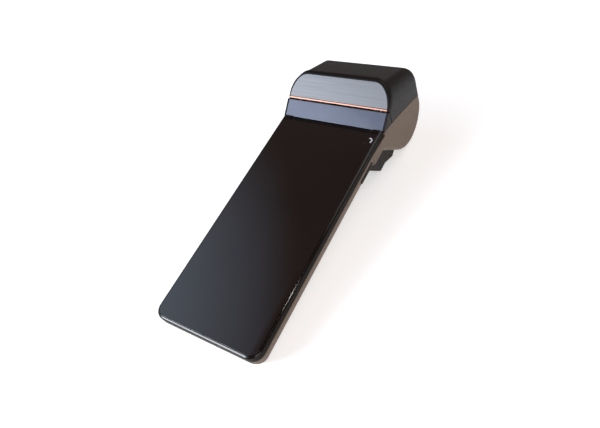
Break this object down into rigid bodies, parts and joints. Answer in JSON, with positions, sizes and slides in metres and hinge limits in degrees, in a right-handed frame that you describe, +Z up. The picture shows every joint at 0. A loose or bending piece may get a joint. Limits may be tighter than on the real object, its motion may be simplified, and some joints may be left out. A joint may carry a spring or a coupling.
{
  "type": "card payment terminal",
  "caption": "Handheld card payment terminal: a long slab with a full-face touch glass and a raised receipt printer head with a hinged paper lid over a round roll housing.",
  "frame": {"origin": "centre of the bottom of the resting terminal's box, in the plane of its rest pads", "axes": "+X to the right of a user facing the screen, +Y towards the printer head, +Z up"},
  "size_m": [0.082, 0.2318, 0.0649],
  "materials": {
    "taupe": "fine textured moulding",
    "bezel": "high gloss",
    "screen_glass": "polished, black backed",
    "black_plastic": "satin",
    "dark_plastic": "satin",
    "grey_gloss": "smooth gloss",
    "brushed_plate": "brushed across",
    "copper": "polished copper tone",
    "steel": "satin",
    "alloy": "satin",
    "brass": "turned",
    "rubber": "matte",
    "board": "solder mask",
    "nylon": "natural",
    "ceramic": "glazed",
    "battery_wrap": "film wrap",
    "lens": "coated lens"
  },
  "bodies": {
    "body": {"front_bezel": "bezel", "touch_glass": "screen_glass", "display_module": "black_plastic", "front_camera": "lens", "speaker_slot": "black_plastic", "mid_frame": "alloy", "battery_pack": "battery_wrap", "battery_connector": "black_plastic", "main_board": "board", "processor_shield": "steel", "radio_shield": "steel", "sam_card_socket": "steel", "loudspeaker": "black_plastic", "contactless_antenna": "copper", "usb_c_socket": "steel", "rear_casing": "taupe", "battery_cover": "taupe", "casing_screw_1": "steel", "casing_screw_2": "steel", "casing_screw_3": "steel", "casing_screw_4": "steel", "front_pad_left": "rubber", "front_pad_right": "rubber", "housing_pad": "rubber", "camera_block": "dark_plastic", "camera_ring": "alloy", "camera_lens": "lens", "camera_lamp": "nylon", "head_front": "black_plastic", "lower_front_panel": "grey_gloss", "tear_bar": "steel", "paper_well": "black_plastic", "printer_chassis": "steel", "print_head_sink": "alloy", "print_head_strip": "ceramic", "feed_motor": "steel", "idler_post": "steel"},
    "lid": {"lid_shell": "black_plastic", "hinge_pin": "steel", "lid_front_plate": "brushed_plate", "copper_trim": "copper", "platen_carrier": "dark_plastic", "platen_bush_1": "brass", "platen_bush_2": "brass"},
    "platen": {"platen_shaft": "steel", "platen_roller": "rubber", "platen_gear": "nylon"},
    "idler": {"idler_gear": "nylon"},
    "pinion": {"motor_pinion": "brass"},
    "volume_key": {"volume_key": "dark_plastic"},
    "power_key": {"power_key": "dark_plastic"}
  },
  "joints": [
    {"name": "lid_hinge", "type": "hinge", "parent": "body", "child": "lid", "pos_m": [0, 0.11389, 0.03023], "axis": [-1, 0, 0], "range_deg": [0, 75]},
    {"name": "platen_spin", "type": "hinge", "parent": "lid", "child": "platen", "pos_m": [0, 0.07412, 0.04776], "axis": [1, 0, 0], "continuous": true},
    {"name": "idler_spin", "type": "hinge", "parent": "body", "child": "idler", "pos_m": [0, 0.06875, 0.03559], "axis": [1, 0, 0], "continuous": true},
    {"name": "pinion_spin", "type": "hinge", "parent": "body", "child": "pinion", "pos_m": [0, 0.06118, 0.02775], "axis": [1, 0, 0], "continuous": true},
    {"name": "volume_key_rock", "type": "hinge", "parent": "body", "child": "volume_key", "pos_m": [0.0375, 0.02574, 0.02827], "axis": [0, -0.1582, 0.9874], "range_deg": [-1.2, 1.2], "stiffness_Nm_per_rad": 0.7},
    {"name": "power_key_press", "type": "slide", "parent": "body", "child": "power_key", "axis": [1, 0, 0], "range_m": [0, 0.0005], "stiffness_N_per_m": 1500}
  ],
  "couplings": [
    {"joint": "idler_spin", "follows": "platen_spin", "ratio": -0.69231},
    {"joint": "pinion_spin", "follows": "platen_spin", "ratio": 1.8}
  ]
}
